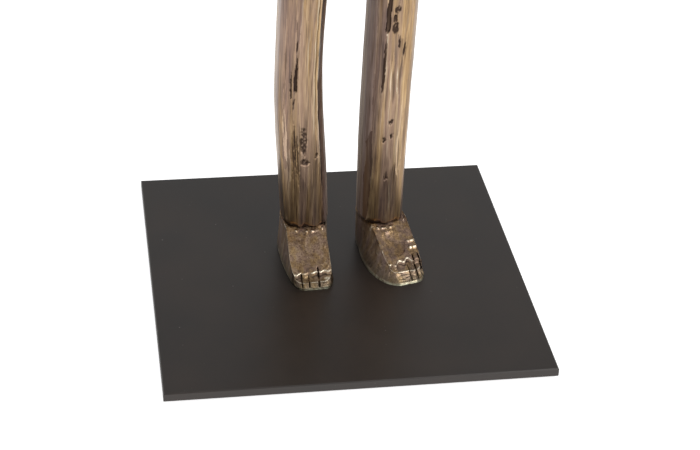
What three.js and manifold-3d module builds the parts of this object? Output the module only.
// A slender standing figure in cast bronze, on a square blackened steel plate.
// The figure is cast hollow in sections: two feet, two legs, a torso, two arms and a head.
// Sections meet at Roman joints: a sleeve inside both ends, held by filed-off pins.
// Each foot has a tapped plate welded into its sole, and two countersunk screws hold it from below.
// Millimetres, +Z up, the figure faces -Y, origin under the middle of the plate.
import * as THREE from "three";
import { mergeVertices } from "three/addons/utils/BufferGeometryUtils.js";
import Module from "manifold-3d";

const wasm = await Module();
wasm.setup();

// ---------- Driving dimensions ----------
const GAP = 0.3; // between pieces that touch when assembled
const WALL = 4; // bronze wall of every casting

const PLATE_SIDE = 320;
const PLATE_THICK = 8;
const PLATE_CHAMFER = 0.8;
const PAD_RADIUS = 11;
const PAD_THICK = 2;
const PAD_INSET = 24; // from the plate's edge to the middle of a pad

const SCREW_RADIUS = 3;
const SCREW_HEAD_RADIUS = 6;
const SCREW_HEAD_DEPTH = 3.2;
const SCREW_LENGTH = 16;
const SCREW_CLEARANCE = 0.4; // radial, in the plate and in the sole plate
const SCREW_SOCKET = 4; // across flats
const SCREW_SOCKET_DEPTH = 2;
const SCREW_SINK = 0.2; // the head ends this far inside the plate's underside
const SCREW_RIM = 0.2; // the head's straight edge, below its cone
const SOLE_PLATE_THICK = 6;

const STANCE_X = 8; // the figure's upright axis on the plate
const STANCE_Y = 36;

const ANKLE_HEIGHT = 34;
const ANKLE_WIDTH = 41;
const ANKLE_DEPTH = 44;
const FOOT_REACH = 66; // from the ankle's middle to the toes
const TOE_WIDTH = 40;
const TOE_HEIGHT = 11;
const INSTEP_WIDTH = 31; // the flat top of the foot where it meets the shin
const CROWN_WIDTH = 12; // the foot's block over the toes at ankle height, before the instep is cut
const FOOT_FLARE = 2; // how far the sole spreads past the ankle

const LEG_LENGTH = 341;
const THIGH_WIDTH = 49;
const THIGH_DEPTH = 59;
const HIP_SPREAD = 75; // between the middles of the two thighs

const TORSO_LENGTH = 287;
const HIP_MARGIN = 2; // how far the hips stand out past the thighs
const WAIST_WIDTH = 100;
const CHEST_WIDTH = 132;
const CHEST_DEPTH = 70;
const NECK_WIDTH = 42;
const NECK_DEPTH = 45;

const ARM_LENGTH = 348;
const ARM_WIDTH = 34;
const ARM_DEPTH = 43;
const ARM_SWING = 4; // how far the wrist hangs out past the shoulder
const SHOULDER_DROP = 17; // from the neck joint down to the top of the arm
const SHOULDER_FLAT = 4; // how deep the joint's flat is cut into the chest and into the arm
const SHOULDER_JOINT_DROP = 30; // from the top of the arm down to the middle of its sleeve
const SHOULDER_SLEEVE_HEIGHT = 26;
const SHOULDER_SLEEVE_DEPTH = 22;

const HEAD_LENGTH = 120; // from the neck joint to the crown
const HEAD_WIDTH = 71;
const HEAD_DEPTH = 90;

const SLEEVE_WALL = 2.5;
const SLEEVE_REACH = 11; // into each of the two sections
const PIN_RADIUS = 1.5;
const PIN_LENGTH = WALL + SLEEVE_WALL + GAP;
const PIN_CLEARANCE = 0.15;
const PIN_SINK = 0.4; // a filed pin ends this far under the skin

// ---------- Levels ----------
const PLATE_TOP = PAD_THICK + PLATE_THICK;
const ANKLE_Z = PLATE_TOP + ANKLE_HEIGHT;
const HIP_Z = ANKLE_Z + LEG_LENGTH;
const NECK_Z = HIP_Z + TORSO_LENGTH;
const SHOULDER_TOP = NECK_Z - SHOULDER_DROP;
const SHOULDER_FACE = CHEST_WIDTH / 2; // where the arm's flat meets the torso's side
const SHOULDER_JOINT_Z = SHOULDER_TOP - SHOULDER_JOINT_DROP;
const HIP_WIDTH = HIP_SPREAD + THIGH_WIDTH + 2 * HIP_MARGIN;

// ---------- Finishes ----------
const finish = (name, color, roughness, metalness) =>
  Object.assign(new THREE.MeshStandardMaterial({ color, roughness, metalness }), { name });
const patinatedBronze = finish("patinated_bronze", 0x93795c, 0.42, 0.9);
const rawBronze = finish("raw_bronze", 0xa98350, 0.5, 0.9);
const blackenedSteel = finish("blackened_steel", 0x3b3735, 0.5, 0.6);
const zincSteel = finish("zinc_steel", 0xa8abad, 0.35, 0.9);
const rubberPad = finish("rubber", 0x2b2b2b, 0.95, 0);

// ---------- Solids ----------
const solid = (geometry) => {
  const bare = geometry.clone();
  bare.deleteAttribute("normal");
  bare.deleteAttribute("uv");
  const merged = mergeVertices(bare, 1e-4);
  const vertProperties = new Float32Array(merged.attributes.position.array);
  const triVerts = new Uint32Array(merged.index.array);
  return new wasm.Manifold(new wasm.Mesh({ numProp: 3, vertProperties, triVerts }));
};

const geometryOf = (manifold) => {
  const mesh = manifold.getMesh();
  const positions = new Float32Array(mesh.vertProperties);
  const geometry = new THREE.BufferGeometry();
  geometry.setAttribute("position", new THREE.BufferAttribute(positions, 3));
  geometry.setIndex(new THREE.BufferAttribute(new Uint32Array(mesh.triVerts), 1));
  geometry.computeVertexNormals();
  return geometry;
};

// A closed solid through rings of equal point counts, lowest ring first, with flat fans as its ends.
const loftGeometry = (rings) => {
  const sides = rings[0].length;
  const positions = rings.flat().flatMap((p) => [p.x, p.y, p.z]);
  const faces = [];
  for (let r = 0; r + 1 < rings.length; r += 1) {
    for (let i = 0; i < sides; i += 1) {
      const a = r * sides + i;
      const b = r * sides + ((i + 1) % sides);
      faces.push(a, b, b + sides, a, b + sides, a + sides);
    }
  }
  const middle = (ring) =>
    ring.reduce((sum, p) => sum.add(p), new THREE.Vector3()).divideScalar(ring.length);
  const ends = [middle(rings[0]), middle(rings[rings.length - 1])];
  ends.forEach((p) => positions.push(p.x, p.y, p.z));
  const low = rings.length * sides;
  const top = (rings.length - 1) * sides;
  for (let i = 0; i < sides; i += 1) {
    const next = (i + 1) % sides;
    faces.push(low, next, i);
    faces.push(low + 1, top + i, top + next);
  }
  const geometry = new THREE.BufferGeometry();
  geometry.setAttribute("position", new THREE.Float32BufferAttribute(positions, 3));
  geometry.setIndex(faces);
  return geometry;
};

const power = (value, exponent) => Math.sign(value) * Math.abs(value) ** exponent;

// One horizontal section: a superellipse of a full width and depth, round at 2 and boxy above 3.
const section = (s, sides) =>
  Array.from({ length: sides }, (_, i) => {
    const angle = (2 * Math.PI * (i + 0.5)) / sides;
    return new THREE.Vector3(
      s.x + (s.width / 2) * power(Math.cos(angle), 2 / s.box),
      s.y + (s.depth / 2) * power(Math.sin(angle), 2 / s.box),
      s.z,
    );
  });

// Sections between the stated ones, on smooth curves through them.
const smoothSections = (stations, perSpan) => {
  const places = new THREE.CatmullRomCurve3(stations.map((s) => new THREE.Vector3(s.x, s.y, s.z)));
  const sizes = new THREE.CatmullRomCurve3(
    stations.map((s) => new THREE.Vector3(s.width, s.depth, s.box)),
  );
  const steps = (stations.length - 1) * perSpan;
  return Array.from({ length: steps + 1 }, (_, i) => {
    const place = places.getPoint(i / steps);
    const size = sizes.getPoint(i / steps);
    return { x: place.x, y: place.y, z: place.z, width: size.x, depth: size.y, box: size.z };
  });
};

const shape = (stations, sides, perSpan = 1) =>
  solid(loftGeometry(smoothSections(stations, perSpan).map((s) => section(s, sides))));

// The hollow of a casting: the same sections less the wall.
const hollowOf = (place) => ({
  ...place,
  width: place.width - 2 * WALL,
  depth: place.depth - 2 * WALL,
});
const hollowed = (stations) => stations.map(hollowOf);

const cylinder = (radius, from, to, sides = 16) => {
  const axis = to.clone().sub(from);
  const geometry = new THREE.CylinderGeometry(radius, radius, axis.length(), sides);
  const turn = new THREE.Quaternion().setFromUnitVectors(
    new THREE.Vector3(0, 1, 0),
    axis.clone().normalize(),
  );
  geometry.applyQuaternion(turn);
  geometry.translate((from.x + to.x) / 2, (from.y + to.y) / 2, (from.z + to.z) / 2);
  return solid(geometry);
};

// An oval plug of a full width and depth between two levels.
const ovalPlug = (place, low, high, sides = 16) =>
  solid(loftGeometry([low, high].map((z) => section({ ...place, z }, sides))));

const box = (low, high) => {
  const size = high.clone().sub(low);
  const geometry = new THREE.BoxGeometry(size.x, size.y, size.z);
  geometry.translate((low.x + high.x) / 2, (low.y + high.y) / 2, (low.z + high.z) / 2);
  return solid(geometry);
};

// ---------- The assembly ----------
const statuette = new THREE.Group();
const add = (name, manifold, material) => {
  const mesh = new THREE.Mesh(geometryOf(manifold), material);
  mesh.name = name;
  statuette.add(mesh);
};

// ---------- Stance: where each limb's middle runs ----------
// side is -1 for the figure's right and +1 for its left.
const ANKLE_OFFSET = { right: -32, left: 36 }; // from the figure's axis
const SPLAY = { right: -2, left: 14 }; // degrees that a foot turns outwards
const BOW = { right: -5, left: -1.5 }; // sideways bend of the shin
const sides = [
  { name: "right", side: -1 },
  { name: "left", side: 1 },
];

const legStations = ({ name, side }) => {
  const ankle = STANCE_X + ANKLE_OFFSET[name];
  const hip = STANCE_X + (side * HIP_SPREAD) / 2;
  const at = (share, bow, width, depth, boxiness) => ({
    x: ankle + (hip - ankle) * share + BOW[name] * bow,
    y: STANCE_Y,
    z: ANKLE_Z + LEG_LENGTH * share,
    width,
    depth,
    box: boxiness,
  });
  return [
    at(0, 0, ANKLE_WIDTH, ANKLE_DEPTH, 2.8),
    at(0.16, 0.3, ANKLE_WIDTH, ANKLE_DEPTH, 2.8),
    at(0.31, 0.75, ANKLE_WIDTH - 0.5, ANKLE_DEPTH + 1, 2.8),
    at(0.45, 1, ANKLE_WIDTH - 1, ANKLE_DEPTH + 2, 2.8),
    at(0.6, 0.5, ANKLE_WIDTH, ANKLE_DEPTH + 4, 2.8),
    at(0.78, 0, (ANKLE_WIDTH + THIGH_WIDTH) / 2, (ANKLE_DEPTH + THIGH_DEPTH) / 2, 2.7),
    at(0.92, 0, THIGH_WIDTH - 1, THIGH_DEPTH - 1, 2.6),
    at(1, 0, THIGH_WIDTH, THIGH_DEPTH, 2.6),
  ];
};

// ---------- Roman joints ----------
// A joint across a horizontal face: the sleeve inside both ends, and its two pins at the back.
const sleeveSize = (hollow) => ({
  ...hollow,
  width: hollow.width - 2 * GAP,
  depth: hollow.depth - 2 * GAP,
});

const sleeve = (hollow, z) => {
  const outer = sleeveSize(hollow);
  const inner = {
    ...outer,
    width: outer.width - 2 * SLEEVE_WALL,
    depth: outer.depth - 2 * SLEEVE_WALL,
  };
  return ovalPlug(outer, z - SLEEVE_REACH, z + SLEEVE_REACH).subtract(
    ovalPlug(inner, z - SLEEVE_REACH - 1, z + SLEEVE_REACH + 1, 12),
  );
};

// The back pins of a joint at z, as two axes from inside the sleeve to flush with the outside.
const pinAxes = (hollow, z) =>
  [-1, 1].map((way) => {
    const outside = hollow.y + hollow.depth / 2 + WALL - PIN_SINK;
    const level = z + way * SLEEVE_REACH * 0.5;
    return {
      from: new THREE.Vector3(hollow.x, outside - PIN_LENGTH, level),
      to: new THREE.Vector3(hollow.x, outside, level),
    };
  });

const pin = (axis) => cylinder(PIN_RADIUS, axis.from, axis.to, 10);
const pinHole = (axis) => {
  const way = axis.to.clone().sub(axis.from).normalize();
  return cylinder(
    PIN_RADIUS + PIN_CLEARANCE,
    axis.from.clone().addScaledVector(way, -3),
    axis.to.clone().addScaledVector(way, 3),
    10,
  );
};
const cutAll = (body, cutters) => cutters.reduce((rest, cutter) => rest.subtract(cutter), body);

const addJoint = (name, hollow, z, axes) => {
  const holes = axes.map(pinHole);
  add(`${name}_sleeve`, cutAll(sleeve(hollow, z), holes), rawBronze);
  add(`${name}_pin_lower`, pin(axes[0]), rawBronze);
  add(`${name}_pin_upper`, pin(axes[1]), rawBronze);
};

// ---------- Base plate, pads and screws ----------
// A foot's own frame has its origin at the ankle's middle, with its toes towards -Y.
const footPoint = ({ name, side }, x, y, z) => {
  const turn = (side * SPLAY[name] * Math.PI) / 180;
  const middle = STANCE_X + ANKLE_OFFSET[name];
  return new THREE.Vector3(x, y, z)
    .applyAxisAngle(new THREE.Vector3(0, 0, 1), turn)
    .add(new THREE.Vector3(middle, STANCE_Y, 0));
};
const SCREW_ROWS = { heel: 4, toe: -FOOT_REACH * 0.56 };
const screwPlaces = sides.flatMap((limb) =>
  Object.entries(SCREW_ROWS).map(([row, y]) => ({
    name: `${limb.name}_foot_screw_${row}`,
    limb,
    place: footPoint(limb, 0, y, 0),
  })),
);

const addBase = () => {
  const half = PLATE_SIDE / 2;
  const outline = (inset, z) =>
    [
      [-1, -1],
      [1, -1],
      [1, 1],
      [-1, 1],
    ].map(([x, y]) => new THREE.Vector3(x * (half - inset), y * (half - inset), z));
  const blank = solid(
    loftGeometry([
      outline(PLATE_CHAMFER, PAD_THICK),
      outline(0, PAD_THICK + PLATE_CHAMFER),
      outline(0, PLATE_TOP - PLATE_CHAMFER),
      outline(PLATE_CHAMFER, PLATE_TOP),
    ]),
  );
  const holes = screwPlaces.map(({ place }) => {
    const headRadius = SCREW_HEAD_RADIUS + SCREW_CLEARANCE;
    const holeRadius = SCREW_RADIUS + SCREW_CLEARANCE;
    const bottom = PAD_THICK + SCREW_SINK;
    const profile = [
      [0, PAD_THICK - 1],
      [headRadius, PAD_THICK - 1],
      [headRadius, bottom + SCREW_RIM],
      [holeRadius, bottom + SCREW_HEAD_DEPTH],
      [holeRadius, PLATE_TOP + 1],
      [0, PLATE_TOP + 1],
    ].map(([r, z]) => new THREE.Vector2(r, z));
    const geometry = new THREE.LatheGeometry(profile, 16);
    geometry.rotateX(Math.PI / 2);
    geometry.translate(place.x, place.y, 0);
    return solid(geometry);
  });
  add("base_plate", cutAll(blank, holes), blackenedSteel);

  for (const [row, y] of [["front", -1], ["rear", 1]]) {
    for (const [column, x] of [["right", -1], ["left", 1]]) {
      const middle = half - PAD_INSET;
      const low = new THREE.Vector3(x * middle, y * middle, 0);
      const high = new THREE.Vector3(x * middle, y * middle, PAD_THICK - GAP);
      add(`pad_${row}_${column}`, cylinder(PAD_RADIUS, low, high, 20), rubberPad);
    }
  }
};

const screw = (place) => {
  const socket = SCREW_SOCKET / Math.sqrt(3); // a hexagon's corner radius
  const bottom = PAD_THICK + SCREW_SINK;
  const profile = [
    [0, bottom],
    [SCREW_HEAD_RADIUS, bottom],
    [SCREW_HEAD_RADIUS, bottom + SCREW_RIM],
    [SCREW_RADIUS, bottom + SCREW_HEAD_DEPTH],
    [SCREW_RADIUS, bottom + SCREW_LENGTH],
    [0, bottom + SCREW_LENGTH],
  ].map(([r, z]) => new THREE.Vector2(r, z));
  const geometry = new THREE.LatheGeometry(profile, 14);
  geometry.rotateX(Math.PI / 2);
  geometry.translate(place.x, place.y, 0);
  const mouth = new THREE.Vector3(place.x, place.y, bottom - 1);
  const floor = new THREE.Vector3(place.x, place.y, bottom + SCREW_SOCKET_DEPTH);
  return solid(geometry).subtract(cylinder(socket, mouth, floor, 6));
};

const addScrews = () =>
  screwPlaces.forEach(({ name, place }) => add(name, screw(place), zincSteel));

// ---------- Feet ----------
// A foot's plan outline at one level: the heel's half is round, the toes' half is long and boxy.
// Its half-width runs from the ankle's middle to the shin's front, and on to the toes.
const footOutline = (limb, z, size, count) =>
  Array.from({ length: count }, (_, i) => {
    const angle = (2 * Math.PI * (i + 0.5)) / count;
    const front = Math.sin(angle) < 0;
    const boxiness = front ? 3.8 : 2.8;
    const y = (front ? size.reach : size.heel) * power(Math.sin(angle), 2 / boxiness);
    const toShin = THREE.MathUtils.clamp(-y / size.heel, 0, 1);
    const toToes = Math.max(0, (-y - size.heel) / (size.reach - size.heel));
    const halfWidth =
      size.ankle + (size.shin - size.ankle) * toShin + (size.toe - size.shin) * toToes;
    return footPoint(limb, halfWidth * power(Math.cos(angle), 2 / boxiness), y, z);
  });

// The slab above the instep: everything over the line from the toes' top to the ankle's front.
const overInstep = (limb, inset) => {
  const front = -FOOT_REACH - 30;
  const toe = { y: -FOOT_REACH + 7, z: PLATE_TOP + TOE_HEIGHT - inset };
  const ankle = { y: -ANKLE_DEPTH / 2, z: ANKLE_Z - 2 - inset };
  const corners = [
    [front, toe.z - 9],
    [toe.y - 6, toe.z - 2.5],
    [toe.y, toe.z],
    [ankle.y, ankle.z],
    [ankle.y, ANKLE_Z + 40],
    [front, ANKLE_Z + 40],
  ];
  const wide = 3 * TOE_WIDTH;
  const ring = (x) => corners.map(([y, z]) => footPoint(limb, x, y, z));
  return solid(loftGeometry([ring(-wide), ring(wide)]));
};

const footBody = (limb, inset, low, high, count) => {
  const sole = {
    reach: FOOT_REACH - inset,
    heel: ANKLE_DEPTH / 2 + FOOT_FLARE - inset,
    ankle: ANKLE_WIDTH / 2 + FOOT_FLARE - inset,
    shin: ANKLE_WIDTH / 2 + FOOT_FLARE - inset,
    toe: TOE_WIDTH / 2 + FOOT_FLARE / 2 - inset,
  };
  const crown = {
    reach: FOOT_REACH - 5 - inset,
    heel: ANKLE_DEPTH / 2 - inset,
    ankle: ANKLE_WIDTH / 2 - inset,
    shin: INSTEP_WIDTH / 2 - inset,
    toe: CROWN_WIDTH / 2 - inset,
  };
  return solid(
    loftGeometry([footOutline(limb, low, sole, count), footOutline(limb, high, crown, count)]),
  ).subtract(overInstep(limb, inset));
};

const addFoot = (limb) => {
  const outer = footBody(limb, 0, PLATE_TOP + GAP, ANKLE_Z - GAP / 2, 36);
  const inner = footBody(limb, WALL, PLATE_TOP - 1, ANKLE_Z + 2, 28);
  const ankle = hollowOf(legStations(limb)[0]);
  const axes = pinAxes(ankle, ANKLE_Z);
  const opening = ovalPlug(ankle, ANKLE_Z - SLEEVE_REACH - GAP, ANKLE_Z + 2);
  const casting = cutAll(outer, [inner, opening, ...axes.map(pinHole)]);
  add(`${limb.name}_foot`, casting, patinatedBronze);
  addJoint(`${limb.name}_ankle`, ankle, ANKLE_Z, axes);

  const low = PLATE_TOP + GAP;
  const blank = footBody(limb, WALL + GAP, PLATE_TOP - 1, ANKLE_Z + 2, 28);
  const slab = box(
    new THREE.Vector3(-PLATE_SIDE, -PLATE_SIDE, low),
    new THREE.Vector3(PLATE_SIDE, PLATE_SIDE, low + SOLE_PLATE_THICK),
  );
  const tapped = screwPlaces
    .filter((s) => s.limb === limb)
    .map(({ place }) =>
      cylinder(
        SCREW_RADIUS + SCREW_CLEARANCE,
        new THREE.Vector3(place.x, place.y, low - 1),
        new THREE.Vector3(place.x, place.y, low + SOLE_PLATE_THICK + 1),
      ),
    );
  add(`${limb.name}_sole_plate`, cutAll(blank.intersect(slab), tapped), rawBronze);
};

// ---------- Legs ----------
const addLeg = (limb) => {
  const stations = legStations(limb);
  const ankle = hollowOf(stations[0]);
  const hip = hollowOf(stations[stations.length - 1]);
  const outerStations = stations.map((s) => ({ ...s }));
  outerStations[0].z += GAP / 2;
  outerStations[outerStations.length - 1].z -= GAP / 2;
  const outer = shape(outerStations, 20, 2);
  const hollow = hollowed(stations);
  hollow[0].z -= 1;
  hollow[hollow.length - 1].z += 1;
  const inner = shape(hollow, 12);
  const axes = [...pinAxes(ankle, ANKLE_Z), ...pinAxes(hip, HIP_Z)];
  const mouths = [
    ovalPlug(ankle, ANKLE_Z - 2, ANKLE_Z + SLEEVE_REACH + GAP),
    ovalPlug(hip, HIP_Z - SLEEVE_REACH - GAP, HIP_Z + 2),
  ];
  add(
    `${limb.name}_leg`,
    cutAll(outer, [inner, ...mouths, ...axes.map(pinHole)]),
    patinatedBronze,
  );
};

// ---------- Torso ----------
const bodyAt = (share, width, depth, boxiness, forward = 0) => ({
  x: STANCE_X,
  y: STANCE_Y - forward,
  z: HIP_Z + TORSO_LENGTH * share,
  width,
  depth,
  box: boxiness,
});
const neck = { x: STANCE_X, y: STANCE_Y, width: NECK_WIDTH, depth: NECK_DEPTH, box: 2.2 };
const torsoStations = [
  bodyAt(0, HIP_WIDTH - 4, THIGH_DEPTH + 2, 3),
  bodyAt(0.1, HIP_WIDTH, THIGH_DEPTH + 8, 2.8),
  bodyAt(0.2, HIP_WIDTH - 8, THIGH_DEPTH + 6, 2.6),
  bodyAt(0.34, WAIST_WIDTH, CHEST_DEPTH - 14, 2.5),
  bodyAt(0.5, WAIST_WIDTH + 10, CHEST_DEPTH - 6, 2.6, 1),
  bodyAt(0.66, CHEST_WIDTH - 6, CHEST_DEPTH, 2.9, 2),
  bodyAt(0.78, CHEST_WIDTH + 2 * SHOULDER_FLAT, CHEST_DEPTH - 3, 3.6, 1),
  bodyAt(0.89, CHEST_WIDTH + 2 * SHOULDER_FLAT, CHEST_DEPTH - 16, 3.6),
  bodyAt(0.955, CHEST_WIDTH - 44, CHEST_DEPTH - 24, 2.8),
  bodyAt(1, NECK_WIDTH, NECK_DEPTH, 2.2),
];

// An arm's sections from its fingertips up to the top of its shoulder.
const armStations = ({ side }) => {
  const at = (share, width, depth, boxiness, forward = 0, out = ARM_SWING) => ({
    x: STANCE_X + side * (SHOULDER_FACE + ARM_WIDTH / 2 - SHOULDER_FLAT + out),
    y: STANCE_Y - forward,
    z: SHOULDER_TOP - ARM_LENGTH * share,
    width,
    depth,
    box: boxiness,
  });
  return [
    at(1, 7, 12, 2.4, 7),
    at(0.97, 12, 24, 2.6, 7),
    at(0.9, 16, 33, 2.8, 6),
    at(0.82, 19, 36, 2.8, 5),
    at(0.75, 20, 27, 2.6, 4),
    at(0.65, ARM_WIDTH - 9, ARM_DEPTH - 12, 2.6, 2),
    at(0.54, ARM_WIDTH - 5, ARM_DEPTH - 7, 2.6, -1),
    at(0.46, ARM_WIDTH - 6, ARM_DEPTH - 8, 2.6, -2, ARM_SWING * 0.75),
    at(0.32, ARM_WIDTH - 3, ARM_DEPTH - 5, 2.6, -1, ARM_SWING * 0.35),
    at(0.18, ARM_WIDTH, ARM_DEPTH, 2.8, 0, 0),
    at(0.07, ARM_WIDTH, ARM_DEPTH, 2.8, 0, 0),
    at(0.022, ARM_WIDTH - 6, ARM_DEPTH - 8, 2.6, 0, -1),
    at(0, ARM_WIDTH - 18, ARM_DEPTH - 20, 2.4, 0, -3),
  ];
};

// Shoulder joints are upright faces, so their sleeves lie along X.
const shoulderPlug = (side, height, depth, from, to, count = 16) => {
  const rings = [from, to].map((x) =>
    section({ x: 0, y: 0, z: x, width: height, depth, box: 2.4 }, count),
  );
  const geometry = loftGeometry(rings);
  geometry.rotateY((side * Math.PI) / 2);
  geometry.translate(STANCE_X, STANCE_Y, SHOULDER_JOINT_Z);
  return solid(geometry);
};

// Where a casting's back surface lies at a level, some way out from its middle.
const backSurface = (stations, x, z) => {
  const fine = smoothSections(stations, 8).sort((a, b) => Math.abs(a.z - z) - Math.abs(b.z - z));
  const s = fine[0];
  const share = Math.abs(x - s.x) / (s.width / 2);
  return s.y + (s.depth / 2) * (1 - share ** s.box) ** (1 / s.box);
};

// A shoulder's two pins run in from the back, one through the torso and one through the arm.
const shoulderPinAxes = (limb) => {
  const inner = STANCE_Y + SHOULDER_SLEEVE_DEPTH / 2 - GAP - SLEEVE_WALL;
  return [torsoStations, armStations(limb)].map((stations, i) => {
    const way = i === 0 ? -1 : 1;
    const x = STANCE_X + limb.side * (SHOULDER_FACE + way * SLEEVE_REACH * 0.55);
    const back = backSurface(stations, x, SHOULDER_JOINT_Z) - PIN_SINK;
    return {
      from: new THREE.Vector3(x, inner, SHOULDER_JOINT_Z),
      to: new THREE.Vector3(x, back, SHOULDER_JOINT_Z),
    };
  });
};

const addTorso = () => {
  const stations = torsoStations.map((s) => ({ ...s }));
  stations[0].z += GAP / 2;
  stations[stations.length - 1].z -= GAP / 2;
  const hollow = hollowed(torsoStations);
  hollow[0].z += WALL + SLEEVE_REACH;
  hollow[1].z += WALL;
  hollow[hollow.length - 2].depth -= WALL;
  hollow[hollow.length - 2].z -= WALL;
  hollow[hollow.length - 1].z += 1;
  const far = PLATE_SIDE;
  const flats = sides.map(({ side }) => {
    const face = STANCE_X + side * (SHOULDER_FACE - GAP / 2);
    const outside = STANCE_X + side * far;
    return box(
      new THREE.Vector3(Math.min(face, outside), -far, HIP_Z - 1),
      new THREE.Vector3(Math.max(face, outside), far, NECK_Z + 1),
    );
  });
  const hips = sides.map((limb) => {
    const stationsOfLeg = legStations(limb);
    return hollowOf(stationsOfLeg[stationsOfLeg.length - 1]);
  });
  const sockets = hips.map((hip) => ovalPlug(hip, HIP_Z - 1, HIP_Z + WALL + 2 * SLEEVE_REACH));
  const neckHollow = hollowOf(neck);
  const collar = ovalPlug(neckHollow, NECK_Z - 2 * SLEEVE_REACH, NECK_Z + 2);
  const windows = sides.map(({ side }) =>
    shoulderPlug(
      side,
      SHOULDER_SLEEVE_HEIGHT,
      SHOULDER_SLEEVE_DEPTH,
      SHOULDER_FACE - WALL - 2 * SLEEVE_REACH,
      SHOULDER_FACE + 2,
    ),
  );
  const pins = [
    ...hips.flatMap((hip) => pinAxes(hip, HIP_Z)),
    ...pinAxes(neckHollow, NECK_Z),
    ...sides.map((limb) => shoulderPinAxes(limb)[0]),
  ].map(pinHole);
  const casting = cutAll(shape(stations, 28, 2), [
    shape(hollow, 16),
    ...flats,
    ...sockets,
    collar,
    ...windows,
    ...pins,
  ]);
  add("torso", casting, patinatedBronze);
  sides.forEach((limb, i) =>
    addJoint(`${limb.name}_hip`, hips[i], HIP_Z, pinAxes(hips[i], HIP_Z)),
  );
  addJoint("neck", neckHollow, NECK_Z, pinAxes(neckHollow, NECK_Z));
};

// ---------- Arms and hands ----------
const addArm = (limb) => {
  const { name, side } = limb;
  const stations = armStations(limb);
  const hollow = hollowed(stations).filter((s) => s.width > 2.5 * WALL);
  hollow[0].z += WALL;
  hollow[hollow.length - 1].z -= WALL;
  const far = PLATE_SIDE;
  const face = STANCE_X + side * (SHOULDER_FACE + GAP / 2);
  const inside = STANCE_X - side * far;
  const flat = box(
    new THREE.Vector3(Math.min(face, inside), -far, HIP_Z - far),
    new THREE.Vector3(Math.max(face, inside), far, NECK_Z + far),
  );
  const mouth = shoulderPlug(
    side,
    SHOULDER_SLEEVE_HEIGHT,
    SHOULDER_SLEEVE_DEPTH,
    SHOULDER_FACE - 2,
    SHOULDER_FACE + SLEEVE_REACH + GAP,
  );
  const axes = shoulderPinAxes(limb);
  const cutters = [shape(hollow, 12), flat, mouth, pinHole(axes[1])];
  add(`${name}_arm`, cutAll(shape(stations, 18, 2), cutters), patinatedBronze);

  const outer = shoulderPlug(
    side,
    SHOULDER_SLEEVE_HEIGHT - 2 * GAP,
    SHOULDER_SLEEVE_DEPTH - 2 * GAP,
    SHOULDER_FACE - SLEEVE_REACH,
    SHOULDER_FACE + SLEEVE_REACH,
  );
  const inner = shoulderPlug(
    side,
    SHOULDER_SLEEVE_HEIGHT - 2 * GAP - 2 * SLEEVE_WALL,
    SHOULDER_SLEEVE_DEPTH - 2 * GAP - 2 * SLEEVE_WALL,
    SHOULDER_FACE - SLEEVE_REACH - 1,
    SHOULDER_FACE + SLEEVE_REACH + 1,
    12,
  );
  add(`${name}_shoulder_sleeve`, cutAll(outer, [inner, ...axes.map(pinHole)]), rawBronze);
  add(`${name}_shoulder_pin_torso`, pin(axes[0]), rawBronze);
  add(`${name}_shoulder_pin_arm`, pin(axes[1]), rawBronze);
};

// ---------- Head ----------
const headAt = (share, width, depth, boxiness, forward) => ({
  x: STANCE_X,
  y: STANCE_Y - forward,
  z: NECK_Z + HEAD_LENGTH * share,
  width,
  depth,
  box: boxiness,
});
const headStations = [
  headAt(0, NECK_WIDTH, NECK_DEPTH, 2.2, 0),
  headAt(0.12, NECK_WIDTH, NECK_DEPTH + 3, 2.2, 1),
  headAt(0.19, NECK_WIDTH + 8, HEAD_DEPTH - 20, 2.2, 6),
  headAt(0.3, HEAD_WIDTH - 13, HEAD_DEPTH - 9, 2.4, 4),
  headAt(0.45, HEAD_WIDTH - 4, HEAD_DEPTH - 3, 2.5, 1),
  headAt(0.62, HEAD_WIDTH, HEAD_DEPTH, 2.5, -1),
  headAt(0.8, HEAD_WIDTH - 2, HEAD_DEPTH - 2, 2.4, -1),
  headAt(0.92, HEAD_WIDTH - 17, HEAD_DEPTH - 20, 2.3, -1),
  headAt(1, 22, 28, 2, -1),
];

const addHead = () => {
  const stations = headStations.map((s) => ({ ...s }));
  stations[0].z += GAP / 2;
  const hollow = hollowed(headStations);
  hollow[0].z -= 1;
  hollow[hollow.length - 1].z -= WALL;
  const neckHollow = hollowOf(neck);
  const mouth = ovalPlug(neckHollow, NECK_Z - 2, NECK_Z + SLEEVE_REACH + GAP);
  const pins = pinAxes(neckHollow, NECK_Z).map(pinHole);
  add("head", cutAll(shape(stations, 24, 2), [shape(hollow, 14), mouth, ...pins]), patinatedBronze);
};

addBase();
addScrews();
sides.forEach(addFoot);
sides.forEach(addLeg);
addTorso();
sides.forEach(addArm);
addHead();

export default statuette;
